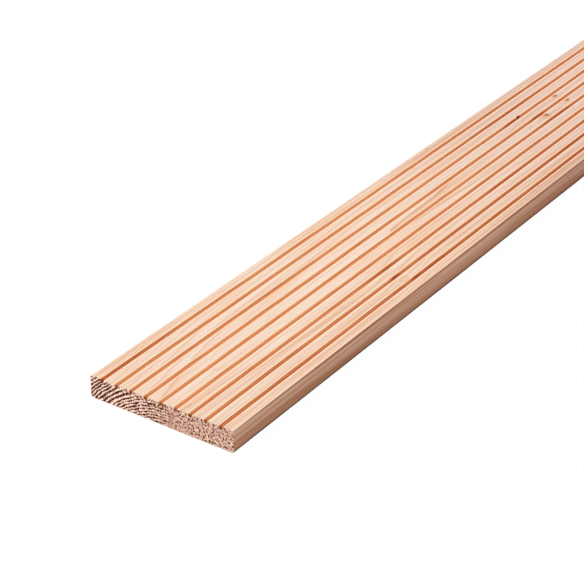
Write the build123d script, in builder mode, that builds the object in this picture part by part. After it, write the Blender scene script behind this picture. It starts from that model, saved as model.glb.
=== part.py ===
from build123d import *

import os

# Grooved softwood decking board, planed all round and sawn square at both ends.
# Units are millimetres. The board lies flat with its grooved face up: X runs across the board,
# Y along it and Z up, with the origin at the middle of the underside.

# Planed board
board_length = 2000.0
board_width = 145.0
board_thickness = 21.0
arris_radius = 2.0  # rounding of the four long edges

# Grooves, which run the whole length of the top face
groove_count = 9
groove_opening = 4.0  # width at the top face
groove_floor = 2.0  # width at the bottom, between the sloping walls
groove_depth = 3.0
groove_floor_radius = 0.8
groove_lip_radius = 0.4
edge_land = 10.5  # plain face between each outer groove and the board's side

# The grooves are evenly spaced between the two edge lands
groove_pitch = (board_width - 2 * edge_land - groove_opening) / (groove_count - 1)

with BuildPart() as decking_board:
    # Cross-section of the board, as its sawn end shows it
    with BuildSketch(Plane.XZ) as section:
        Rectangle(board_width, board_thickness, align=(Align.CENTER, Align.MIN))

        # Tapered grooves, sunk from the top face
        with Locations((0, board_thickness)):
            with GridLocations(groove_pitch, 0, groove_count, 1):
                Polygon(
                    (-groove_opening / 2, 0),
                    (-groove_floor / 2, -groove_depth),
                    (groove_floor / 2, -groove_depth),
                    (groove_opening / 2, 0),
                    align=(Align.CENTER, Align.MAX),
                    mode=Mode.SUBTRACT,
                )

        # Roundings, from the corners of the section as it stands: floors, lips and arrises
        groove_floors = section.vertices().group_by(Axis.Y)[1]
        fillet(groove_floors, groove_floor_radius)
        groove_lips = section.vertices().group_by(Axis.Y)[-1].sort_by(Axis.X)[1:-1]
        fillet(groove_lips, groove_lip_radius)
        left_side, *_, right_side = section.vertices().group_by(Axis.X)
        fillet(left_side + right_side, arris_radius)

    extrude(amount=board_length / 2, both=True)

decking_board.part.label = "decking_board"

os.makedirs("parts", exist_ok=True)
export_step(decking_board.part, "parts/decking_board.step")
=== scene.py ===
import math
from collections import namedtuple

import bmesh
import bpy
from bpy.props import FloatProperty, FloatVectorProperty, IntProperty, PointerProperty
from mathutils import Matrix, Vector, noise


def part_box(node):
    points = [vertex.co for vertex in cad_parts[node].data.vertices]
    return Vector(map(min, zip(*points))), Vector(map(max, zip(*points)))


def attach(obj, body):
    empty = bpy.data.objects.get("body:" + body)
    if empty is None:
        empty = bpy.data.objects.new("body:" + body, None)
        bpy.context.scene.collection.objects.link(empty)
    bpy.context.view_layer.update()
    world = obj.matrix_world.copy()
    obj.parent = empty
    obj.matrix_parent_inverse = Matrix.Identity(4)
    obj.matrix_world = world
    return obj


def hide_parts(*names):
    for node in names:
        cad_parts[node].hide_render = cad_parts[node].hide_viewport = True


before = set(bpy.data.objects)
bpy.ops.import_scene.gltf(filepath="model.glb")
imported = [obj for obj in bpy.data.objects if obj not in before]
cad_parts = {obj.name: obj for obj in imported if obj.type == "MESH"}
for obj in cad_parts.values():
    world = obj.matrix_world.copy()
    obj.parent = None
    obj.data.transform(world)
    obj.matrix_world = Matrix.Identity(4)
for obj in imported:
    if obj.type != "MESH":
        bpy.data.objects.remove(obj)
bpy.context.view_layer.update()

bl_info = {
    "name": "Grooved Decking Board",
    "version": (1, 0, 0),
    "blender": (4, 5, 0),
    "location": "View3D > Sidebar > Decking",
    "description": "Models a planed and grooved softwood decking board and sets it in a plain studio",
    "category": "Object",
}

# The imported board, in metres
BOARD_NODE = "decking_board"
BOARD_LOW, BOARD_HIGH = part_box(BOARD_NODE)
BOARD_SIZE = BOARD_HIGH - BOARD_LOW
MM = 0.001
TOUCH = 1e-6

# Order of the board's finishes in its material slots
PLANED, GROOVED, SAWN = range(3)

# Names of the bake map and of the sawn ends' point attributes
BAKE_MAP = "OFBake"
TORN, BRUISED = "torn", "bruised"

# Layout of the bake map: its margin, the height of the unrolled faces, and the foot and height of the ends
MAP_MARGIN = 0.005
UNROLLED_HEIGHT = 0.90
END_FOOT, END_HEIGHT = 0.92, 0.072

# Widths of the strips that the plain faces are cut into, and how square to an axis a face's normal is
NARROW_STRIP, WIDE_STRIP = 3.0 * MM, 12.0 * MM
SQUARE = 0.99

# A knot crosses the top face so far across the board and along it from the near end, in millimetres.
# Its heart, body and rim show by these shares, it is so many times longer than wide,
# and the rings rise by its sweep over it
Knot = namedtuple("Knot", "across along radius longer heart body rim sweep")
KNOTS = (
    Knot(across=53.3, along=281.0, radius=3.4, longer=1.3, heart=0.0, body=0.1, rim=0.75, sweep=1.0),
    Knot(across=44.6, along=280.0, radius=1.7, longer=3.0, heart=0.35, body=0.2, rim=0.0, sweep=0.0),
    Knot(across=59.4, along=291.0, radius=1.4, longer=4.0, heart=0.3, body=0.2, rim=0.0, sweep=0.0),
    Knot(across=-57.0, along=475.0, radius=1.3, longer=1.3, heart=0.2, body=0.5, rim=0.0, sweep=0.3),
    Knot(across=-69.0, along=520.0, radius=1.4, longer=1.3, heart=0.3, body=0.5, rim=0.0, sweep=0.3),
    Knot(across=-31.7, along=640.5, radius=1.2, longer=4.0, heart=1.0, body=0.7, rim=0.0, sweep=1.5),
    Knot(across=-8.7, along=660.0, radius=3.9, longer=1.2, heart=0.75, body=1.0, rim=0.25, sweep=1.0),
    Knot(across=-24.6, along=708.5, radius=2.6, longer=1.9, heart=0.75, body=1.0, rim=0.0, sweep=0.8),
    Knot(across=-9.2, along=706.5, radius=2.5, longer=1.9, heart=0.75, body=1.0, rim=0.0, sweep=0.8),
    Knot(across=34.0, along=1048.0, radius=3.8, longer=1.3, heart=0.8, body=0.9, rim=0.4, sweep=3.0),
    Knot(across=-47.0, along=1330.0, radius=2.8, longer=1.4, heart=0.9, body=0.9, rim=0.3, sweep=2.0),
    Knot(across=15.0, along=1655.0, radius=4.0, longer=1.3, heart=0.7, body=0.9, rim=0.4, sweep=4.0),
)

# Where resin has reddened the wood, by place and half size in millimetres
Stain = namedtuple("Stain", "across along wide long share")
STAINS = (
    Stain(across=-61.0, along=20.0, wide=3.0, long=130.0, share=0.65),
    Stain(across=-27.0, along=208.0, wide=4.2, long=64.0, share=0.9),
    Stain(across=-27.5, along=365.0, wide=3.2, long=50.0, share=0.5),
    Stain(across=6.5, along=284.0, wide=5.0, long=36.0, share=0.3),
    Stain(across=44.0, along=281.0, wide=3.0, long=10.0, share=1.0),
    Stain(across=59.0, along=293.0, wide=3.0, long=11.0, share=0.95),
    Stain(across=59.0, along=324.0, wide=3.0, long=42.0, share=0.5),
    Stain(across=29.0, along=288.0, wide=3.0, long=45.0, share=0.5),
    Stain(across=-16.0, along=655.0, wide=3.0, long=24.0, share=0.9),
    Stain(across=-31.5, along=625.0, wide=4.4, long=26.0, share=0.8),
    Stain(across=-1.0, along=671.0, wide=3.0, long=50.0, share=0.6),
    Stain(across=-46.0, along=648.0, wide=3.0, long=75.0, share=0.45),
    Stain(across=29.0, along=496.0, wide=3.0, long=50.0, share=0.4),
    Stain(across=-26.8, along=697.0, wide=3.2, long=10.0, share=1.0),
)

# Growth rings from the pith outwards: where each ends, in millimetres, and how dark it shows when planed
RINGS = (
    (24.0, 0.5), (27.4, 0.3), (30.6, 0.6), (33.9, 0.4), (37.0, 0.7), (40.3, 0.3), (43.2, 0.5),
    (46.4, 0.6), (49.3, 0.35), (52.4, 0.6), (55.4, 0.4), (58.2, 0.7), (60.8, 0.5), (63.2, 0.3),
    (66.05, 0.75), (68.6, 0.15), (71.2, 0.15), (73.7, 0.9), (76.2, 0.7), (80.2, 0.9), (83.4, 0.6),
    (86.6, 0.9), (89.2, 0.6), (91.6, 0.9), (94.0, 0.6), (96.3, 0.9), (98.7, 0.7), (101.1, 0.9),
    (103.5, 0.7), (106.0, 0.9), (108.6, 0.7), (111.4, 0.9), (115.2, 0.7),
)


class DeckingShape(bpy.types.PropertyGroup):
    """Sizes of the board and of its surface relief"""

    width: FloatProperty(
        name="Width", description="Across the grooves", default=BOARD_SIZE.x, unit="LENGTH"
    )
    length: FloatProperty(
        name="Length", description="Along the grooves", default=BOARD_SIZE.y, unit="LENGTH"
    )
    thickness: FloatProperty(
        name="Thickness", description="From the underside to the top face",
        default=BOARD_SIZE.z, unit="LENGTH"
    )
    arris_radius: FloatProperty(
        name="Arris Radius", description="Rounding of the four long edges", default=2.0 * MM, unit="LENGTH"
    )
    groove_count: IntProperty(name="Grooves", description="Grooves in the top face", default=9, min=2)
    edge_land: FloatProperty(
        name="Edge Land", description="Plain face outside each outer groove",
        default=10.5 * MM, unit="LENGTH"
    )
    groove_opening: FloatProperty(
        name="Groove Opening", description="Width of a groove at the top face",
        default=4.0 * MM, unit="LENGTH"
    )
    groove_floor: FloatProperty(
        name="Groove Floor", description="Width of a groove at its bottom", default=2.0 * MM, unit="LENGTH"
    )
    groove_depth: FloatProperty(
        name="Groove Depth", description="Depth below the top face", default=3.0 * MM, unit="LENGTH"
    )
    floor_radius: FloatProperty(
        name="Floor Radius", description="Rounding at a groove's floor", default=0.8 * MM, unit="LENGTH"
    )
    lip_radius: FloatProperty(
        name="Lip Radius", description="Rounding of a groove's lips", default=0.4 * MM, unit="LENGTH"
    )
    segment: FloatProperty(
        name="Segment", description="Length of a facet along the board", default=8.0 * MM, unit="LENGTH"
    )
    end_grid: FloatProperty(
        name="End Grid", description="Size of a facet on the sawn ends", default=0.42 * MM, unit="LENGTH"
    )
    tear_depth: FloatProperty(
        name="Tear Depth", description="Deepest fibre torn out by the saw", default=0.6 * MM, unit="LENGTH"
    )
    lip_waver: FloatProperty(
        name="Lip Waver", description="Unevenness of the groove lips", default=0.18 * MM, unit="LENGTH"
    )

    @property
    def groove_pitch(self):
        """Distance from one groove to the next."""
        grooved = self.width - 2 * self.edge_land - self.groove_opening
        return grooved / (self.groove_count - 1)

    @property
    def groove_centres(self):
        """Places of the grooves across the board."""
        first = -self.groove_pitch * (self.groove_count - 1) / 2
        return [first + i * self.groove_pitch for i in range(self.groove_count)]


class DeckingWood(bpy.types.PropertyGroup):
    """Colours of the wood"""

    pale: FloatVectorProperty(
        name="Earlywood", description="Planed spring growth", subtype="COLOR", default=(0.90, 0.735, 0.605)
    )
    rosy: FloatVectorProperty(
        name="Rosy Patches", description="Pinkish tone of broad patches", subtype="COLOR",
        default=(0.885, 0.645, 0.49)
    )
    late: FloatVectorProperty(
        name="Latewood", description="Planed summer growth", subtype="COLOR", default=(0.82, 0.405, 0.20)
    )
    brown: FloatVectorProperty(
        name="Brown Wood", description="Streaks by the long edges, and rims of knots", subtype="COLOR",
        default=(0.67, 0.37, 0.20)
    )
    ring_line: FloatVectorProperty(
        name="Ring Lines", description="Thin dark line round a ring", subtype="COLOR",
        default=(0.74, 0.38, 0.20)
    )
    # Painted shade: the far length darkens where the light falls off
    far_light_falloff: FloatVectorProperty(
        name="Far Tint", description="Tint of the duller far length", subtype="COLOR",
        default=(0.885, 0.865, 0.92)
    )
    flush: FloatVectorProperty(
        name="Flush", description="Tint of the redder right edge and of worn sides", subtype="COLOR",
        default=(0.94, 0.88, 0.83)
    )
    # Painted highlight on the lips and upper arrises that face the light
    painted_highlight: FloatVectorProperty(
        name="Painted Highlights", description="Painted highlight on lit lips and arrises", subtype="COLOR",
        default=(0.99, 0.735, 0.57)
    )
    # The sides grade from the upper tint down to the lower one: painted shade towards the floor
    edge_high: FloatVectorProperty(
        name="Upper Edges", description="Tint of the long sides by the top", subtype="COLOR",
        default=(1.0, 0.87, 0.83)
    )
    low_side_shade: FloatVectorProperty(
        name="Lower Edges", description="Tint of the long sides by the floor", subtype="COLOR",
        default=(0.68, 0.45, 0.33)
    )
    # Painted shade: a dark line where the upper arris turns from the light, and a painted contact shadow
    # along the foot of the sides
    painted_edge_shade: FloatVectorProperty(
        name="Edge Line", description="Painted shade below the arris and along the foot", subtype="COLOR",
        default=(0.36, 0.20, 0.135)
    )
    # The grooves' orange is partly the cut wood's colour and partly painted light bounced inside them;
    # resin stains use it too
    groove: FloatVectorProperty(
        name="Grooves", description="Cut wood, with painted bounced light", subtype="COLOR", default=(1.0, 0.55, 0.25)
    )
    # Painted shade: the lips on the side away from the light, paler orange than the walls
    shaded_groove_lip: FloatVectorProperty(
        name="Groove Lips", description="Lips in shade", subtype="COLOR", default=(0.98, 0.70, 0.47)
    )
    # Latewood in the grooves, and also the painted shade lines below the lips and by the floors
    groove_late_and_shade: FloatVectorProperty(
        name="Groove Latewood", description="Summer growth and painted shade in the grooves", subtype="COLOR",
        default=(0.64, 0.18, 0.04)
    )
    groove_shade: FloatVectorProperty(
        name="Groove Shade", description="Tint of the groove floors", subtype="COLOR",
        default=(0.72, 0.56, 0.44)
    )
    # Painted shade where the groove floors run out at the ends
    groove_end_shade: FloatVectorProperty(
        name="Groove Ends", description="Tint where a groove runs out", subtype="COLOR",
        default=(0.34, 0.16, 0.10)
    )
    end_pale: FloatVectorProperty(
        name="End Earlywood", description="Clean-cut fibres", subtype="COLOR", default=(0.96, 0.735, 0.62)
    )
    end_tone: FloatVectorProperty(
        name="End Shade", description="Bruised fibres", subtype="COLOR", default=(0.50, 0.285, 0.205)
    )
    end_dark: FloatVectorProperty(
        name="End Latewood", description="Torn rings and pits", subtype="COLOR",
        default=(0.07, 0.014, 0.005)
    )
    knot_body: FloatVectorProperty(
        name="Knot Bodies", description="Round the heart of a knot", subtype="COLOR",
        default=(0.78, 0.35, 0.14)
    )
    knot: FloatVectorProperty(
        name="Knot Hearts", description="Heart of a knot", subtype="COLOR", default=(0.27, 0.09, 0.03)
    )
    # Dark heart of a knot, with painted shade in the slit where the groove cuts it
    groove_knot_and_slit_shade: FloatVectorProperty(
        name="Groove Knots", description="Heart of a knot cut by a groove, with painted shade in its slit", subtype="COLOR",
        default=(0.15, 0.014, 0.003)
    )


class DeckingStudio(bpy.types.PropertyGroup):
    """Camera, lamps and floor"""

    camera_place: FloatVectorProperty(
        name="Camera Place", description="Camera's place", subtype="TRANSLATION",
        default=(0.8311, -2.0083, 0.8651)
    )
    azimuth: FloatProperty(
        name="Azimuth", description="Camera's turn to the left of the board", subtype="ANGLE",
        default=math.radians(34.88)
    )
    elevation: FloatProperty(
        name="Elevation", description="How far the camera looks down", subtype="ANGLE",
        default=math.radians(29.71)
    )
    roll: FloatProperty(
        name="Roll", description="Camera's roll", subtype="ANGLE", default=math.radians(-0.17)
    )
    focal_pixels: FloatProperty(
        name="Focal Length", description="In pixels of the picture", default=1949.0
    )
    picture_pixels: IntProperty(name="Picture Width", description="In pixels", default=584)
    sun: FloatProperty(name="Key Light", description="Share of the light on the top face", default=0.51)
    sun_aim: FloatVectorProperty(
        name="Key Direction", description="From the board towards the key light", subtype="DIRECTION",
        default=(-0.17, -0.78, 0.60)
    )
    sun_spread: FloatProperty(
        name="Key Spread", description="Softness of the key light", subtype="ANGLE",
        default=math.radians(35)
    )
    sky: FloatProperty(name="Fill Light", description="Share of the light from all round", default=0.53)
    floor_seen: FloatProperty(name="Floor Seen", description="Floor's paleness to the camera", default=1.0)
    floor_bounce: FloatProperty(
        name="Floor Bounce", description="Floor's paleness to the board", default=0.62
    )
    floor_glow: FloatProperty(
        name="Floor Glow", description="Share of plain white in the floor", default=0.975
    )
    floor_size: FloatProperty(
        name="Floor Size", description="Side of the floor", default=24.0, unit="LENGTH"
    )


# Wood figure: these functions serve the shader, with fields, and the sawn ends, with plain numbers

class Field:
    """A quantity that varies through the wood: a shader socket that arithmetic turns into nodes."""

    def __init__(self, socket):
        self.socket = socket

    def made(self, operation, *others):
        """A math node of this field and the others."""
        node = self.socket.id_data.nodes.new("ShaderNodeMath")
        node.operation = operation
        for slot, value in zip(node.inputs, (self, *others)):
            feed(slot, value)
        return Field(node.outputs[0])

    def __add__(self, other):
        return self.made("ADD", other)

    def __sub__(self, other):
        return self.made("SUBTRACT", other)

    def __mul__(self, other):
        return self.made("MULTIPLY", other)

    def __truediv__(self, other):
        return self.made("DIVIDE", other)

    def __rsub__(self, other):
        return self * -1.0 + other

    def __neg__(self):
        return self * -1.0

    def __abs__(self):
        return self.made("ABSOLUTE")

    __radd__ = __add__
    __rmul__ = __mul__


def feed(slot, value):
    """Link a field into a socket, or set the socket to a plain value."""
    if isinstance(value, Field):
        slot.id_data.links.new(value.socket, slot)
    elif isinstance(value, bpy.types.NodeSocket):
        slot.id_data.links.new(value, slot)
    else:
        slot.default_value = value


def sine(value):
    """Sine of a field or a number."""
    return value.made("SINE") if isinstance(value, Field) else math.sin(value)


def root(value):
    """Square root of a field or a number."""
    return value.made("SQRT") if isinstance(value, Field) else math.sqrt(value)


def whole(value):
    """Whole part of a field or a number."""
    return value.made("FLOOR") if isinstance(value, Field) else math.floor(value)


def eased(value, low, high):
    """0 below low and 1 above high, with a soft step between them."""
    if isinstance(value, Field):
        node = value.socket.id_data.nodes.new("ShaderNodeMapRange")
        node.interpolation_type = "SMOOTHSTEP"
        feed(node.inputs["Value"], value)
        feed(node.inputs["From Min"], low)
        feed(node.inputs["From Max"], high)
        return Field(node.outputs["Result"])
    share = min(max((value - low) / (high - low), 0.0), 1.0)
    return share * share * (3 - 2 * share)


def plotted(value, points):
    """Height at a value of the line plotted through these points."""
    if not isinstance(value, Field):
        (x0, y0), (x1, y1) = next(
            (pair for pair in zip(points, points[1:]) if value <= pair[1][0]), points[-2:]
        )
        return y0 + (y1 - y0) * (value - x0) / (x1 - x0)
    low, high = points[0][0], points[-1][0]
    base, top = min(y for _, y in points), max(y for _, y in points)
    node = new_node(value.socket.id_data, "ShaderNodeFloatCurve")
    line = node.mapping.curves[0].points
    spots = [((x - low) / (high - low), (y - base) / (top - base)) for x, y in points]
    for point, spot in zip(line, (spots[0], spots[-1])):
        point.location = spot
    for spot in spots[1:-1]:
        line.new(*spot)
    for point in line:
        point.handle_type = "VECTOR"
    node.mapping.update()
    feed(node.inputs["Value"], (value - low) / (high - low))
    return Field(node.outputs[0]) * (top - base) + base


def bell(across, along, place, wide, long):
    """1 at a place on the board, falling softly to 0 at these half sizes across and along."""
    aside = (across - place[0]) / wide
    ahead = (along - place[1]) / long
    return 1.0 - eased(root(aside * aside + ahead * ahead), 0.0, 1.0)


def pith_across(along):
    """Place of the tree's pith across the board, in millimetres."""
    near = 9.0 - 8.0 * eased(along, -20.0, 120.0) - 5.0 * eased(along, 200.0, 350.0)
    return near + 3.0 * eased(along, 440.0, 580.0) + 8.0 * eased(along, 760.0, 1900.0)


def pith_height(along):
    """Height of the pith, in millimetres: it lies below the underside and comes nearer along the board."""
    climb = 0.0068 * along + 4.71 * eased(along, -45.0, 232.0) + 1.0 * eased(along, 565.0, 655.0)
    climb = climb + 0.15 * eased(along, 345.0, 365.0) - 0.35 * eased(along, 375.0, 445.0)
    climb = climb + 0.2 * eased(along, 470.0, 560.0)
    return climb - 52.0 + 1.3 * sine(along / 130.0) * eased(along, 720.0, 900.0)


def ring_radius(across, along, height):
    """Distance from the pith, in millimetres, for rings a little flatter than circles, with a waver."""
    sideways = 0.93 * (across - pith_across(along))
    upwards = height - pith_height(along)
    waver = 0.20 * sine(across / 9.0 + along / 390.0 + 1.3) + 0.12 * sine(across / 4.1 + height / 6.0)
    return root(sideways * sideways + upwards * upwards) + waver


def ring_count(radius):
    """Rings from the pith outwards."""
    return plotted(radius, [(edge, i) for i, (edge, _) in enumerate(RINGS)])


def ring_darkness(count):
    """How dark the ring at this count shows on a planed face."""
    return plotted(whole(count) + 1.0, [(i, dark) for i, (_, dark) in enumerate(RINGS)])


def latewood(count):
    """Share of latewood: it rises late in each ring and ends abruptly at the next."""
    part = count - whole(count)
    return eased(part, 0.42, 1.0) * (1.0 - eased(part, 0.98, 1.0))


def ring_line(count):
    """Thin line of the last growth at the edge of a ring."""
    part = count - whole(count)
    return eased(part, 0.885, 0.96) * (1.0 - eased(part, 0.985, 1.0))


# Shader helpers

def new_node(tree, kind, **settings):
    """A new node of this kind, with these settings."""
    node = tree.nodes.new(kind)
    for name, value in settings.items():
        setattr(node, name, value)
    return node


def speckle(space, sizes, seed, detail=2.0, rough=0.5):
    """Noise whose grains have these sizes across, along and up, in millimetres, about 0 to 1."""
    tree = space.id_data
    place = new_node(tree, "ShaderNodeVectorMath", operation="MULTIPLY_ADD")
    feed(place.inputs[0], space)
    feed(place.inputs[1], [1.0 / size for size in sizes])
    feed(place.inputs[2], (seed * 3.7, seed * 5.3, seed * 7.1))
    node = new_node(tree, "ShaderNodeTexNoise")
    feed(node.inputs["Vector"], place.outputs[0])
    feed(node.inputs["Scale"], 1.0)
    feed(node.inputs["Detail"], detail)
    feed(node.inputs["Roughness"], rough)
    return Field(node.outputs[0])


def blended(tree, share, first, second, mode="MIX"):
    """Mix of two colours."""
    node = new_node(tree, "ShaderNodeMix", data_type="RGBA", blend_type=mode)
    feed(node.inputs[0], share)
    for slot, colour in zip(node.inputs[6:8], (first, second)):
        feed(slot, colour if isinstance(colour, bpy.types.NodeSocket) else (*colour, 1.0))
    return node.outputs[2]


def wood_space(tree):
    """Place in millimetres: as a vector, and as fields across, along from the near end, and up."""
    place = new_node(tree, "ShaderNodeTexCoord")
    scaled = new_node(tree, "ShaderNodeVectorMath", operation="MULTIPLY_ADD")
    feed(scaled.inputs[0], place.outputs["Object"])
    feed(scaled.inputs[1], (1 / MM, 1 / MM, 1 / MM))
    feed(scaled.inputs[2], (0.0, -BOARD_LOW.y / MM, 0.0))
    parts = new_node(tree, "ShaderNodeSeparateXYZ")
    feed(parts.inputs[0], scaled.outputs[0])
    return scaled.outputs[0], *(Field(socket) for socket in parts.outputs)


def softwood_figure(thickness):
    """Node group of the wood's figure at any point: rings, knots, stains, fibres and broad tones."""
    tree = bpy.data.node_groups.new("Softwood Figure", "ShaderNodeTree")
    space, across, along, height = wood_space(tree)
    top = thickness / MM

    # Each knot is a cone from the pith to the top face, and the rings rise over it
    rise = (height - pith_height(along)) / (top - pith_height(along))
    heart, body, rim, sweep = 0.0, 0.0, 0.0, 0.0
    for knot in KNOTS:
        pith = pith_across(knot.along)
        aside = (across - (pith + (knot.across - pith) * rise)) / rise
        ahead = (along - knot.along) / rise
        reach = root(aside * aside + ahead * ahead / knot.longer ** 2) / knot.radius
        tail = (0.0, -0.9 * knot.radius)
        heart = heart + knot.heart * (1.0 - eased(reach, 0.35, 0.95))
        halo = bell(aside, ahead, tail, 1.7 * knot.radius, 3.0 * knot.radius)
        body = body + knot.body * 0.75 * eased(halo, 0.0, 0.75)
        if knot.rim:
            rim = rim + knot.rim * (1.0 - eased(abs(reach - 1.0), 0.0, 0.22))
        sweep = sweep + knot.sweep * bell(aside, ahead, (0.0, 0.0), 3.2 * knot.radius, 10.0 * knot.radius)

    # The rings swell round the cluster of knots, and the grain stays aside past the plain knot
    sweep = sweep - 6.0 * bell(across, along, (-5.0, 668.0), 22.0, 62.0)
    sweep = sweep + 4.7 * eased(along, 240.0, 345.0) * eased(across, 12.0, 23.0)

    drift = speckle(space, (26.0, 300.0, 26.0), seed=1) * 1.2
    drift = drift + speckle(space, (5.0, 80.0, 5.0), seed=2) * 0.7 - 0.95
    count = ring_count(ring_radius(across, along, height) + drift + sweep)
    dark = ring_darkness(count) * (0.45 + 1.1 * speckle(space, (10.0, 210.0, 10.0), seed=9))

    stain = 0.0
    for mark in STAINS:
        stain = stain + mark.share * bell(across, along, (mark.across, mark.along), mark.wide, mark.long)
    results = {
        "Late": latewood(count) * dark,
        "Line": ring_line(count) * (1.3 * dark).made("MINIMUM", 0.95),
        "Heart": heart,
        "Body": body,
        "Rim": rim,
        "Stain": stain,
        "Streak": speckle(space, (1.5, 200.0, 1.5), seed=3, detail=2.0),
        "Fibre": speckle(space, (0.45, 26.0, 0.45), seed=5, detail=2.0),
        "Tone": speckle(space, (13.0, 150.0, 13.0), seed=4),
    }
    out = new_node(tree, "NodeGroupOutput")
    for name, field in results.items():
        tree.interface.new_socket(name, in_out="OUTPUT", socket_type="NodeSocketFloat")
        feed(out.inputs[name], field)
    return tree


def start_material(name, figure):
    """A material with the wood figure in it: the material, its tree, the figure's fields and its shader."""
    material = bpy.data.materials.new(name)
    material.use_nodes = True
    tree = material.node_tree
    group = new_node(tree, "ShaderNodeGroup", node_tree=figure)
    fields = {socket.name: Field(socket) for socket in group.outputs}
    return material, tree, fields, tree.nodes["Principled BSDF"]


def bump(tree, height, depth):
    """Normal of a surface that rises by a field times a depth in metres."""
    node = new_node(tree, "ShaderNodeBump")
    feed(node.inputs["Strength"], 1.0)
    feed(node.inputs["Distance"], depth)
    feed(node.inputs["Height"], height)
    return node.outputs["Normal"]


def groove_place(across, pitch):
    """Signed distance from the nearest groove's middle, in millimetres."""
    return across - pitch / MM * (across / (pitch / MM)).made("ROUND")


def knotted(tree, wood_at, ground, wood, heart):
    """A ground colour with the knots' bodies, rims and hearts on it."""
    bodied = blended(tree, wood_at["Body"], ground, wood.knot_body)
    rimmed = blended(tree, wood_at["Rim"], bodied, wood.brown)
    return blended(tree, wood_at["Heart"], rimmed, heart)


def planed_wood(figure, shape, wood):
    """Planed faces: pale wood with soft rings, browner on the two long sides, with painted shade darkening
    the sides downwards and painted highlights on the groove lips and arrises.
    """
    material, tree, wood_at, shader = start_material("planed_wood", figure)
    space, across, along, height = wood_space(tree)
    half, top = shape.width / MM / 2, shape.thickness / MM
    side = eased(abs(across), half - 1.15, half - 0.6)

    # The wood is rosier to the right, towards the far end and by the long edges; far along, painted shade
    # dulls it where the light falls off
    drift = 0.12 * eased(across, 10.0, 66.0) + 0.08 * eased(along, 250.0, 600.0)
    drift = drift + 0.16 * eased(abs(across), 60.0, 71.0)
    ground = blended(tree, eased(wood_at["Tone"] + drift, 0.38, 0.70), wood.pale, wood.rosy)
    right = eased(across, 14.0, 56.0)
    browner = right + 0.5 * eased(-across, 56.0, 66.0)
    streak = blended(tree, browner, wood.late, wood.brown)
    streaked = blended(tree, eased(wood_at["Streak"], 0.49, 0.66) * (0.36 + 0.48 * browner), ground, streak)
    fibred = blended(tree, eased(wood_at["Fibre"], 0.45, 0.75) * 0.16, streaked, wood.late)
    ringed = blended(tree, wood_at["Late"] * (0.4 - 0.2 * side), fibred, wood.late)
    lines = blended(tree, wood_at["Line"] * (0.9 + 0.1 * right - 0.85 * side), ringed, wood.ring_line)
    # Painted shade far along the board, where the light falls off
    far_shaded = blended(tree, eased(along, 300.0, 680.0), lines, wood.far_light_falloff, "MULTIPLY")
    flushed = eased(across, 38.0, 66.0) * (0.3 + 0.7 * eased(along, 340.0, 500.0))
    toned = blended(tree, flushed, far_shaded, wood.flush, "MULTIPLY")

    # Painted highlight on the lips of the grooves and on the upper arrises, fading along the arrises
    aside = abs(groove_place(across, shape.groove_pitch))
    lip, land = shape.groove_opening / MM / 2, half - shape.edge_land / MM
    lips = eased(aside, lip - 0.3, lip) * (1.0 - eased(aside, lip + 0.6, lip + 2.2))
    lips = lips * (1.0 - eased(abs(across), land + 2.3, land + 2.5))
    # Painted highlight on the top of the arrises, fainter further along
    arris = eased(abs(across), half - 2.6, half - 1.8) * (1.0 - 0.8 * eased(along, 120.0, 420.0))
    painted_edge_light = blended(tree, (lips + arris) * eased(height, top - 0.7, top - 0.3), toned, wood.painted_highlight)
    stained = blended(tree, wood_at["Stain"] * 0.65, painted_edge_light, wood.groove)

    # Painted shade on the sides: they darken downwards, with a dark line below the upper arris where it
    # turns from the light and a painted contact shadow along the lower one
    shaded_downwards = blended(tree, eased(height, 1.5, 16.5), wood.low_side_shade, wood.edge_high)
    mark = speckle(space, (400.0, 130.0, 400.0), seed=11)
    level = top - 0.85 - 0.4 * (mark - 0.5)
    # Painted shade line below the upper arris
    line = (1.0 - eased(abs(height - level), 0.3, 0.85)) * (0.62 + 0.5 * mark)
    line = line * (0.5 + 0.5 * eased(along, 0.0, 60.0))
    # Painted shade line and painted contact shadow along the foot
    arris_and_foot_shaded = blended(tree, line + 0.9 * (1.0 - eased(height, 1.0, 3.5)), shaded_downwards, wood.painted_edge_shade)
    foot_shaded = blended(tree, 0.9 * (1.0 - eased(height, 1.5, 3.4)), arris_and_foot_shaded, wood.painted_edge_shade, "MULTIPLY")
    worn = eased(speckle(space, (400.0, 170.0, 1.6), seed=12), 0.48, 0.64)
    grained = blended(tree, 0.65 * worn, foot_shaded, wood.flush, "MULTIPLY")
    sided = blended(tree, side, stained, grained, "MULTIPLY")
    feed(shader.inputs["Base Color"], knotted(tree, wood_at, sided, wood, wood.knot))
    feed(shader.inputs["Roughness"], 0.52 + 0.2 * wood_at["Fibre"])
    feed(shader.inputs["Specular IOR Level"], 0.15)
    feed(shader.inputs["Normal"], bump(tree, wood_at["Fibre"] + 0.6 * wood_at["Late"], 0.05 * MM))
    return material


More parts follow.
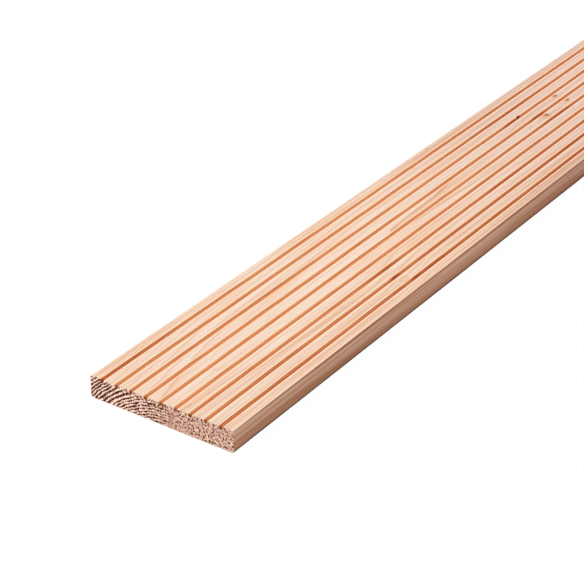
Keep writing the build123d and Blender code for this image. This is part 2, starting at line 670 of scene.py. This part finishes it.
def grooved_wood(figure, shape, wood):
    """Groove walls and floors: strong orange, partly the cut wood's colour and partly painted light bounced
    inside the grooves, with painted highlight and shade at the lips and painted shade towards the floor.
    """
    material, tree, wood_at, shader = start_material("grooved_wood", figure)
    space, across, along, height = wood_space(tree)
    length = shape.length / MM
    sunk = shape.thickness / MM - height
    aside = groove_place(across, shape.groove_pitch)
    lit = eased(aside, -0.2, 0.2)

    # Painted shade darkens the walls in patches along them, now below the lip and now by the floor
    shade_patches = eased(speckle(space, (9.0, 75.0, 400.0), seed=6), 0.40, 0.66)
    right = eased(across, 5.0, 55.0)
    # Painted shade bands below the lip and by the floor
    shade_below_lip = eased(sunk, 0.2, 0.45) * (1.0 - eased(sunk, 0.8, 1.3)) * (shade_patches + 0.35 * right)
    shade_by_floor = eased(sunk, 1.5, 2.2) * (1.0 - 0.7 * shade_patches * (1.0 - right))
    redness = 0.95 * shade_below_lip + (0.4 + 0.2 * right) * shade_by_floor + 0.35 * wood_at["Late"] + wood_at["Stain"]
    redder = redness + 0.18 * eased(along, 150.0, 400.0) * right + 0.3 * eased(along, 400.0, 620.0)
    # Cut wood's orange, partly painted bounced light, darkened by latewood, stains and painted shade
    cut = blended(tree, redder, wood.groove, wood.groove_late_and_shade)
    fibred = blended(tree, eased(wood_at["Fibre"], 0.45, 0.75) * 0.25, cut, wood.groove_late_and_shade)
    floored = blended(tree, eased(sunk, 1.9, 2.9) * 0.4, fibred, wood.groove_shade, "MULTIPLY")
    # Painted highlight on the lit lips, paler painted colour on the lips in shade
    lip_light_and_shade = blended(tree, lit, wood.shaded_groove_lip, wood.painted_highlight)
    painted_edge_light = blended(tree, 1.0 - eased(sunk, 0.05, 0.3 + 0.25 * lit), floored, lip_light_and_shade)

    # Painted shade darkens the groove floors where they run out at the ends
    # Painted shade where the grooves run out at the ends
    run_out_shade = eased(abs(along - length / 2), length / 2 - 5.0, length / 2 - 0.5) * eased(sunk, 0.6, 2.0)
    ended = blended(tree, run_out_shade, painted_edge_light, wood.groove_end_shade, "MULTIPLY")
    # Knots, their hearts in the grooves darkened by painted shade in the slits
    feed(shader.inputs["Base Color"], knotted(tree, wood_at, ended, wood, wood.groove_knot_and_slit_shade))
    feed(shader.inputs["Roughness"], 0.6 + 0.2 * wood_at["Fibre"])
    feed(shader.inputs["Specular IOR Level"], 0.08)
    feed(shader.inputs["Normal"], bump(tree, wood_at["Fibre"], 0.12 * MM))
    return material


def sawn_wood(figure, wood):
    """Sawn ends: pale fibres, dark where the saw tore them out along the rings."""
    material, tree, wood_at, shader = start_material("sawn_wood", figure)
    space, _, _, _ = wood_space(tree)
    torn, bruised = (
        Field(new_node(tree, "ShaderNodeAttribute", attribute_name=name).outputs["Fac"])
        for name in (TORN, BRUISED)
    )
    grit = speckle(space, (0.5, 0.5, 0.5), seed=7, detail=3.0, rough=0.6) - 0.5
    depth = torn + 0.25 * grit

    ground = blended(tree, bruised + 0.6 * grit, wood.end_pale, wood.end_tone)
    frayed = blended(tree, eased(depth, 0.05, 0.5), ground, wood.end_tone)
    pitted = blended(tree, eased(depth, 0.35, 0.85), frayed, wood.end_dark)
    feed(shader.inputs["Base Color"], pitted)
    feed(shader.inputs["Roughness"], 1.0)
    feed(shader.inputs["Specular IOR Level"], 0.0)
    feed(shader.inputs["Normal"], bump(tree, grit, 0.2 * MM))
    return material


# Board mesh

def faces_with_rims(faces):
    """Faces with their edges and corners, as the cutting operators take them."""
    edges = {edge for face in faces for edge in face.edges}
    corners = {corner for face in faces for corner in face.verts}
    return [*corners, *edges, *faces]


def cut_faces(bm, faces, axis, places):
    """Slice these faces at places along an axis, and return the faces that come of it."""
    normal = Vector((axis == "X", axis == "Y", axis == "Z"))
    geometry = faces_with_rims(faces)
    for place in places:
        result = bmesh.ops.bisect_plane(
            bm, geom=geometry, dist=TOUCH, plane_co=normal * place, plane_no=normal
        )
        geometry = result["geom"]
    return [part for part in geometry if isinstance(part, bmesh.types.BMFace)]


def long_edges(bm, chosen):
    """Edges along the board whose place in the section passes a test."""
    return [
        edge for edge in bm.edges
        if abs(edge.verts[0].co.y - edge.verts[1].co.y) > TOUCH
        and chosen(edge.verts[0].co.x, edge.verts[0].co.z)
    ]


def round_edges(bm, edges, radius, turn, segments):
    """Round edges to a radius, where the two faces turn by this angle."""
    bmesh.ops.bevel(
        bm, geom=edges, offset=radius * math.tan(turn / 2), offset_type="OFFSET", affect="EDGES",
        segments=segments, profile=0.5, material=-1, clamp_overlap=True
    )


def evenly(low, high, step):
    """Places that divide a stretch into equal parts of about this step."""
    parts = max(1, round((high - low) / step))
    return [low + (high - low) * i / parts for i in range(1, parts)]


def shape_section(bm, shape):
    """A block with grooves, rounded as the CAD section is. Its ends stay single faces."""
    bmesh.ops.create_cube(bm, size=1.0)
    bmesh.ops.scale(bm, vec=(shape.width, shape.length, shape.thickness), verts=bm.verts)
    bmesh.ops.translate(bm, vec=(0, 0, shape.thickness / 2), verts=bm.verts)

    lip, floor = shape.groove_opening / 2, shape.groove_floor / 2
    floors = [centre + side * floor for centre in shape.groove_centres for side in (-1, 1)]
    lips = [centre + side * lip for centre in shape.groove_centres for side in (-1, 1)]
    top = [face for face in bm.faces if face.normal.z > 0.5]
    cut_faces(bm, top, "X", sorted(floors + lips))

    def among(x, places):
        """Whether a corner lies at one of these places."""
        return any(abs(x - place) < TOUCH for place in places)

    sunk = [v for v in bm.verts if v.co.z > shape.thickness - TOUCH and among(v.co.x, floors)]
    bmesh.ops.translate(bm, vec=(0, 0, -shape.groove_depth), verts=sunk)

    turn = math.pi / 2 - math.atan2(lip - floor, shape.groove_depth)
    round_edges(bm, long_edges(bm, lambda x, z: among(x, floors)), shape.floor_radius, turn, segments=3)
    round_edges(bm, long_edges(bm, lambda x, z: among(x, lips)), shape.lip_radius, turn, segments=2)
    half = shape.width / 2
    round_edges(
        bm, long_edges(bm, lambda x, z: abs(x) > half - TOUCH), shape.arris_radius, math.pi / 2, segments=6
    )


def divide_faces(bm, shape):
    """Cut the ribs, the underside and the sides into strips, so that no facet is long and thin."""
    half = shape.width / 2 - shape.arris_radius
    lip = shape.groove_opening / 2 + shape.lip_radius
    edges = [-half, *(c + s * lip for c in shape.groove_centres for s in (-1, 1)), half]
    ribs = [
        place for low, high in zip(edges[::2], edges[1::2]) for place in evenly(low, high, NARROW_STRIP)
    ]
    level = [
        face for face in bm.faces
        if face.normal.z > SQUARE and face.calc_center_median().z > shape.thickness - TOUCH
    ]
    cut_faces(bm, level, "X", ribs)
    underside = [face for face in bm.faces if face.normal.z < -SQUARE]
    cut_faces(bm, underside, "X", evenly(-half, half, WIDE_STRIP))
    sides = [
        face for face in bm.faces
        if abs(face.normal.x) > SQUARE and abs(face.calc_center_median().x) > half
    ]
    low, high = shape.arris_radius, shape.thickness - shape.arris_radius
    cut_faces(bm, sides, "Z", evenly(low, high, NARROW_STRIP))


def unroll(bm, ends, shape):
    """Bake map: the outline unrolled across the map and the length up it."""
    layer = bm.loops.layers.uv.new(BAKE_MAP)
    outline = list(ends[0].verts)
    start = min(range(len(outline)), key=lambda i: (outline[i].co.z > TOUCH, abs(outline[i].co.x)))
    outline = outline[start:] + outline[:start]
    run, place = [0.0], {}
    for corner, following in zip(outline, outline[1:] + outline[:1]):
        place[round(corner.co.x / TOUCH), round(corner.co.z / TOUCH)] = len(run) - 1
        run.append(run[-1] + (following.co - corner.co).length)
    for face in bm.faces:
        if face in ends:
            continue
        stops = [place[round(loop.vert.co.x / TOUCH), round(loop.vert.co.z / TOUCH)] for loop in face.loops]
        seam = max(stops) - min(stops) > 1
        for loop, stop in zip(face.loops, stops):
            turned = len(outline) if seam and stop == 0 else stop
            loop[layer].uv = (
                MAP_MARGIN + (1.0 - 2 * MAP_MARGIN) * run[turned] / run[-1],
                MAP_MARGIN + UNROLLED_HEIGHT * (loop.vert.co.y / shape.length + 0.5),
            )
    return layer


def map_ends(faces, layer, shape):
    """Bake map of the sawn ends: two strips above the unrolled faces."""
    for face in faces:
        far = face.normal.y > 0
        for loop in face.loops:
            co = loop.vert.co
            loop[layer].uv = (
                MAP_MARGIN + 0.5 * far + (0.5 - 2 * MAP_MARGIN) * (co.x / shape.width + 0.5),
                END_FOOT + END_HEIGHT * co.z / shape.thickness,
            )


def sawn_fibres(across, height, side):
    """Shares, from 0 to 1, by which the saw tore and bruised the fibres at a point of an end."""
    along = 0.0 if side < 0 else BOARD_SIZE.y / MM
    leeward = -side * across
    spot = Vector((across, height, 40.0 * side))
    radius = ring_radius(across, along, height) + 0.45 * noise.noise(spot / 3.4)
    count = ring_count(radius)
    ring = whole(count)
    part = count - ring

    # Rings tear whole on one side of the board, and fray into teeth towards the other
    run = radius * math.atan2(across - pith_across(along), height - pith_height(along))
    fray = eased(leeward, -52.0, 4.0)
    tooth = noise.noise(Vector((run / 1.1 + 0.9 * part, 2.9 * ring, 7.0 * side)))
    swell = noise.noise(Vector((run / 7.0, 3.1 * ring, 5.0 * side)))
    inner = 0.37 + 0.08 * eased(leeward, -60.0, -46.0) + 0.25 * swell - (0.4 + 0.35 * fray) * tooth
    strokes = 1.0 - 0.55 * fray * (1.0 - eased(tooth, -0.3, 0.05))
    outer = 0.86 + 0.2 * noise.noise(Vector((run / 1.3, 4.1 * ring, 3.0 * side)))
    ringed = eased(part, inner - 0.12, inner + 0.12) * (1.0 - eased(part, outer, outer + 0.12)) * strokes

    # Past them the saw only pits the fibres, and barbs stand along the top face
    lee = eased(leeward, -6.0, 28.0)
    pit = Vector((across / 1.6 + height / 4.0, height / 1.7, 11.0 * side))
    pitted = eased(noise.noise(pit) + 0.3 * noise.noise(2.1 * pit), 0.04, 0.26) * (0.35 + 0.6 * lee)
    fringe = eased(height, 17.0, 18.8) * (1.0 - eased(abs(leeward + 16.0), 34.0, 48.0))
    spike = noise.noise(Vector(((across + 0.45 * height) / 0.85, height / 6.0, 23.0 * side)))
    barbs = fringe * eased(spike, 0.0, 0.2)
    clean = 1.0 - 0.7 * eased(height, 19.6, 20.6) * eased(noise.noise(spot / 2.1), -0.3, 0.1)
    torn = max(ringed * (1.0 - 0.75 * lee) * (1.0 - 0.5 * fringe), pitted, barbs) * clean
    bruised = 0.12 + 0.62 * eased(leeward, -40.0, 22.0) - 0.3 * fringe + 0.95 * noise.noise(spot / 1.8)
    return torn, min(max(bruised, 0.0), 1.0)


def saw_ends(bm, ends, shape, layer):
    """Divide the two ends finely and let the saw's torn fibres sink into them."""
    torn, bruised = bm.verts.layers.float.new(TORN), bm.verts.layers.float.new(BRUISED)
    half, top = shape.width / 2, shape.thickness
    for end in ends:
        side = 1 if end.normal.y > 0 else -1
        strips = cut_faces(bm, [end], "X", evenly(-half, half, shape.end_grid))
        grid = cut_faces(bm, strips, "Z", evenly(0.0, top, shape.end_grid))
        map_ends(grid, layer, shape)
        rim = {
            edge for face in grid for edge in face.edges
            if len({other.normal.y * side > 0.5 for other in edge.link_faces}) > 1
        }
        for edge in rim:
            edge.smooth = False
        for face in grid:
            face.material_index = SAWN
        for corner in {corner for face in grid for corner in face.verts}:
            corner[torn], corner[bruised] = sawn_fibres(corner.co.x / MM, corner.co.z / MM, side)
            corner.co.y -= side * shape.tear_depth * corner[torn]


def waver_lips(bm, shape):
    """Groove lips and floors wander a little, as a worn cutter leaves them."""
    reach = shape.groove_opening / 2 + shape.lip_radius
    for corner in bm.verts:
        co = corner.co
        index = round(co.x / shape.groove_pitch)
        aside = co.x - index * shape.groove_pitch
        sunk = shape.thickness - co.z
        if abs(aside) < reach and sunk < shape.groove_depth + TOUCH and 2 * abs(index) < shape.groove_count:
            spot = Vector((index * 7.3 + math.copysign(2.1, aside), co.y / (24.0 * MM), 0.0))
            share = min(1.0, sunk / shape.lip_radius)
            co.x += shape.lip_waver * share * noise.noise(spot)


def finish_faces(bm, shape):
    """Give each face its finish: planed outside, grooved below the top face, sawn at the ends."""
    for face in bm.faces:
        face.smooth = True
        if face.material_index == SAWN:
            continue
        middle = face.calc_center_median()
        aside = abs(middle.x - shape.groove_pitch * round(middle.x / shape.groove_pitch))
        between = abs(middle.x) < shape.width / 2 - shape.edge_land + MM
        inside = between and aside < shape.groove_opening / 2 + shape.lip_radius
        sunk = 0.02 * MM < shape.thickness - middle.z < shape.groove_depth + 0.2 * MM
        face.material_index = GROOVED if inside and sunk else PLANED


class DECKING_OT_board(bpy.types.Operator):
    """Model the grooved board and give it its wood"""

    bl_idname = "decking.board"
    bl_label = "Decking Board"

    def execute(self, context):
        shape, wood = context.scene.decking_shape, context.scene.decking_wood
        bm = bmesh.new()
        shape_section(bm, shape)
        divide_faces(bm, shape)
        ends = [face for face in bm.faces if abs(face.normal.y) > SQUARE]
        layer = unroll(bm, ends, shape)
        bmesh.ops.subdivide_edges(
            bm, edges=long_edges(bm, lambda x, z: True), cuts=round(shape.length / shape.segment) - 1
        )
        waver_lips(bm, shape)
        saw_ends(bm, ends, shape, layer)
        finish_faces(bm, shape)

        mesh = bpy.data.meshes.new("grooved_board")
        bm.to_mesh(mesh)
        bm.free()
        figure = softwood_figure(shape.thickness)
        finishes = (
            planed_wood(figure, shape, wood), grooved_wood(figure, shape, wood), sawn_wood(figure, wood)
        )
        for material in finishes:
            mesh.materials.append(material)
        board = bpy.data.objects.new("grooved_board", mesh)
        context.scene.collection.objects.link(board)
        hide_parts(BOARD_NODE)
        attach(board, "root")
        return {"FINISHED"}


# Studio

def pale_floor(studio):
    """White floor to the camera, greyer to the board, that keeps a soft shadow."""
    material = bpy.data.materials.new("studio_floor")
    material.use_nodes = True
    tree = material.node_tree
    tree.nodes.remove(tree.nodes["Principled BSDF"])
    path = new_node(tree, "ShaderNodeLightPath")
    seen, bounce, glow = (
        new_node(tree, "ShaderNodeBsdfDiffuse"),
        new_node(tree, "ShaderNodeBsdfDiffuse"),
        new_node(tree, "ShaderNodeEmission"),
    )
    feed(seen.inputs["Color"], (*[studio.floor_seen] * 3, 1.0))
    feed(bounce.inputs["Color"], (*[studio.floor_bounce] * 3, 1.0))
    feed(glow.inputs["Strength"], 1.0)
    lit = new_node(tree, "ShaderNodeMixShader")
    feed(lit.inputs[0], studio.floor_glow)
    feed(lit.inputs[1], seen.outputs[0])
    feed(lit.inputs[2], glow.outputs[0])
    shown = new_node(tree, "ShaderNodeMixShader")
    feed(shown.inputs[0], path.outputs["Is Camera Ray"])
    feed(shown.inputs[1], bounce.outputs[0])
    feed(shown.inputs[2], lit.outputs[0])
    feed(tree.nodes["Material Output"].inputs["Surface"], shown.outputs[0])
    return material


def plain_sky(studio):
    """Even light from all round, white to the camera."""
    world = bpy.data.worlds.new("studio_sky")
    world.use_nodes = True
    tree = world.node_tree
    path = new_node(tree, "ShaderNodeLightPath")
    seen = Field(path.outputs["Is Camera Ray"]).made("MAXIMUM", Field(path.outputs["Is Glossy Ray"]))
    back = tree.nodes["Background"]
    feed(back.inputs["Color"], (1.0, 1.0, 1.0, 1.0))
    feed(back.inputs["Strength"], studio.sky + (1.0 - studio.sky) * seen)
    return world


class DECKING_OT_studio(bpy.types.Operator):
    """Set the floor, the lights and the camera"""

    bl_idname = "decking.studio"
    bl_label = "Studio"

    def execute(self, context):
        scene, studio = context.scene, context.scene.decking_studio
        bm = bmesh.new()
        bmesh.ops.create_grid(bm, x_segments=1, y_segments=1, size=studio.floor_size / 2)
        mesh = bpy.data.meshes.new("studio_floor")
        bm.to_mesh(mesh)
        bm.free()
        mesh.materials.append(pale_floor(studio))
        floor = bpy.data.objects.new("studio_floor", mesh)
        scene.collection.objects.link(floor)
        scene.world = plain_sky(studio)

        aim = Vector(studio.sun_aim).normalized()
        lamp = bpy.data.lights.new("key_light", "SUN")
        lamp.energy = studio.sun * math.pi / aim.z
        lamp.angle = studio.sun_spread
        key = bpy.data.objects.new("key_light", lamp)
        key.rotation_euler = aim.to_track_quat("Z", "Y").to_euler()
        scene.collection.objects.link(key)

        lens = bpy.data.cameras.new("camera")
        lens.lens = studio.focal_pixels / studio.picture_pixels * lens.sensor_width
        camera = bpy.data.objects.new("camera", lens)
        camera.location = studio.camera_place
        camera.rotation_euler = (math.pi / 2 - studio.elevation, 0, studio.azimuth)
        camera.rotation_euler.rotate_axis("Z", studio.roll)
        scene.collection.objects.link(camera)
        scene.camera = camera
        scene.view_settings.view_transform = "Standard"
        return {"FINISHED"}


class DECKING_PT_panel(bpy.types.Panel):
    """Lists the steps and the sizes they use"""

    bl_label = "Decking Board"
    bl_idname = "DECKING_PT_panel"
    bl_space_type = "VIEW_3D"
    bl_region_type = "UI"
    bl_category = "Decking"

    def draw(self, context):
        for operator, groups in STEPS:
            self.layout.operator(operator)
            for group in groups:
                settings = getattr(context.scene, group)
                for name in settings.__annotations__:
                    self.layout.prop(settings, name)


STEPS = (("decking.board", ("decking_shape", "decking_wood")), ("decking.studio", ("decking_studio",)))
GROUPS = {"decking_shape": DeckingShape, "decking_wood": DeckingWood, "decking_studio": DeckingStudio}
CLASSES = (*GROUPS.values(), DECKING_OT_board, DECKING_OT_studio, DECKING_PT_panel)


def register():
    for cls in CLASSES:
        bpy.utils.register_class(cls)
    for name, group in GROUPS.items():
        setattr(bpy.types.Scene, name, PointerProperty(type=group))


def unregister():
    for name in GROUPS:
        delattr(bpy.types.Scene, name)
    for cls in reversed(CLASSES):
        bpy.utils.unregister_class(cls)


def main():
    register()
    bpy.ops.decking.board()
    bpy.ops.decking.studio()


if __name__ == "__main__":
    main()
